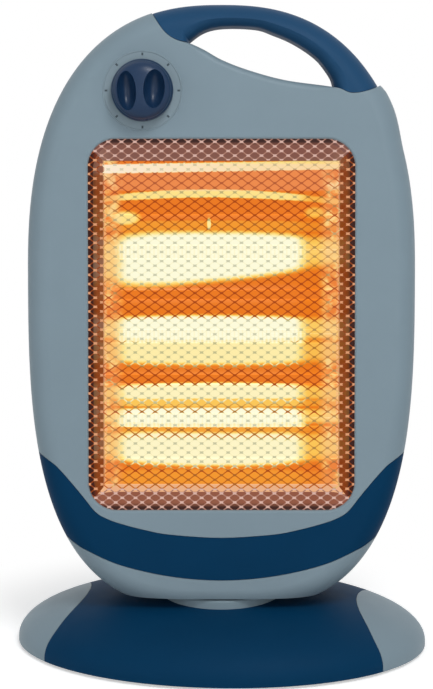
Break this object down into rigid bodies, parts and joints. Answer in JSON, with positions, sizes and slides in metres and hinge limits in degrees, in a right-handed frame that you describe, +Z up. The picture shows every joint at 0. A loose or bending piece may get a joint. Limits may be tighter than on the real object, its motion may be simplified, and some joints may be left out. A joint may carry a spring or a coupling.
{
  "type": "halogen heater",
  "caption": "Upright radiant heater with an oval leaned head, glowing tubes behind a diamond grille, a carrying handle, a control knob and an oval swinging base",
  "frame": {"origin": "on the floor under the centre of the oval base", "axes": "+Z up, the head's front faces -Y, +X to the right of someone looking at the front"},
  "size_m": [0.2936, 0.2206, 0.4559],
  "materials": {
    "grey_plastic": "satin moulded polypropylene, blue grey",
    "blue_plastic": "satin moulded plastic, dark blue",
    "handle_plastic": "fine textured grip plastic, navy",
    "knob_plastic": "gloss navy",
    "inner_plastic": "plain moulded inner parts",
    "black_rubber": "matt black",
    "bright_aluminium": "bright rolled reflector sheet",
    "plain_steel": "zinc plated",
    "grille_wire": "heat-proof grey coated wire",
    "quartz_glass": "lit halogen tube",
    "white_ceramic": "steatite",
    "motor_metal": "zinc plated can",
    "spindle_brass": "turned"
  },
  "bodies": {
    "base": {"base_shell": "grey_plastic", "base_cover": "blue_plastic", "bottom_plate": "inner_plastic", "rubber_foot_1": "black_rubber", "rubber_foot_2": "black_rubber", "rubber_foot_3": "black_rubber", "rubber_foot_4": "black_rubber", "base_screw_1": "plain_steel", "base_screw_2": "plain_steel", "base_screw_3": "plain_steel", "base_screw_4": "plain_steel", "swivel_collar": "grey_plastic", "thrust_washer": "inner_plastic", "swivel_bush": "inner_plastic", "oscillation_motor": "motor_metal", "motor_screw_1": "plain_steel", "motor_screw_2": "plain_steel", "plunger_guide": "inner_plastic", "tip_switch": "black_rubber", "cord_gland": "black_rubber"},
    "head": {"front_housing": "grey_plastic", "rear_housing": "grey_plastic", "front_trim": "blue_plastic", "handle_front": "handle_plastic", "handle_rear": "handle_plastic", "rotary_switch": "inner_plastic", "terminal_block": "inner_plastic", "swivel_spigot": "inner_plastic", "reflector": "bright_aluminium", "tube_bracket_left": "plain_steel", "tube_bracket_right": "plain_steel", "heat_shield": "plain_steel", "drive_arm": "plain_steel", "housing_screw_1": "plain_steel", "housing_screw_2": "plain_steel", "housing_screw_3": "plain_steel", "housing_screw_4": "plain_steel", "grille": "grille_wire", "halogen_tube_1": "quartz_glass", "halogen_tube_2": "quartz_glass", "halogen_tube_3": "quartz_glass", "ceramic_cap_left_1": "white_ceramic", "ceramic_cap_left_2": "white_ceramic", "ceramic_cap_left_3": "white_ceramic", "ceramic_cap_right_1": "white_ceramic", "ceramic_cap_right_2": "white_ceramic", "ceramic_cap_right_3": "white_ceramic", "thermal_cutout": "motor_metal"},
    "knob": {"control_knob": "knob_plastic", "knob_spindle": "spindle_brass"},
    "crank": {"motor_shaft": "plain_steel", "crank_disc": "inner_plastic"},
    "link": {"drive_link": "plain_steel"},
    "plunger": {"tip_plunger": "black_rubber"}
  },
  "joints": [
    {"name": "head_swing", "type": "hinge", "parent": "base", "child": "head", "pos_m": [0, 0, 0.0445], "axis": [0, 0, 1], "range_deg": [-40.5, 29.5]},
    {"name": "knob_turn", "type": "hinge", "parent": "head", "child": "knob", "pos_m": [-0.055, 0.00466, 0.39783], "axis": [0, 0.9903, -0.1392], "range_deg": [0, 315]},
    {"name": "crank_turn", "type": "hinge", "parent": "base", "child": "crank", "pos_m": [0.01892, 0.05042, 0.0206], "axis": [0, 0, 1], "continuous": true},
    {"name": "link_pivot", "type": "hinge", "parent": "crank", "child": "link", "pos_m": [0.0269, 0.051, 0.0233], "axis": [0, 0, 1], "continuous": true},
    {"name": "tip_plunge", "type": "slide", "parent": "base", "child": "plunger", "axis": [0, 0, 1], "range_m": [-0.004, 0], "stiffness_N_per_m": 60, "springref_m": -0.006}
  ],
  "couplings": [
    {"joint": "link_pivot", "follows": "crank_turn", "ratio": -1}
  ]
}
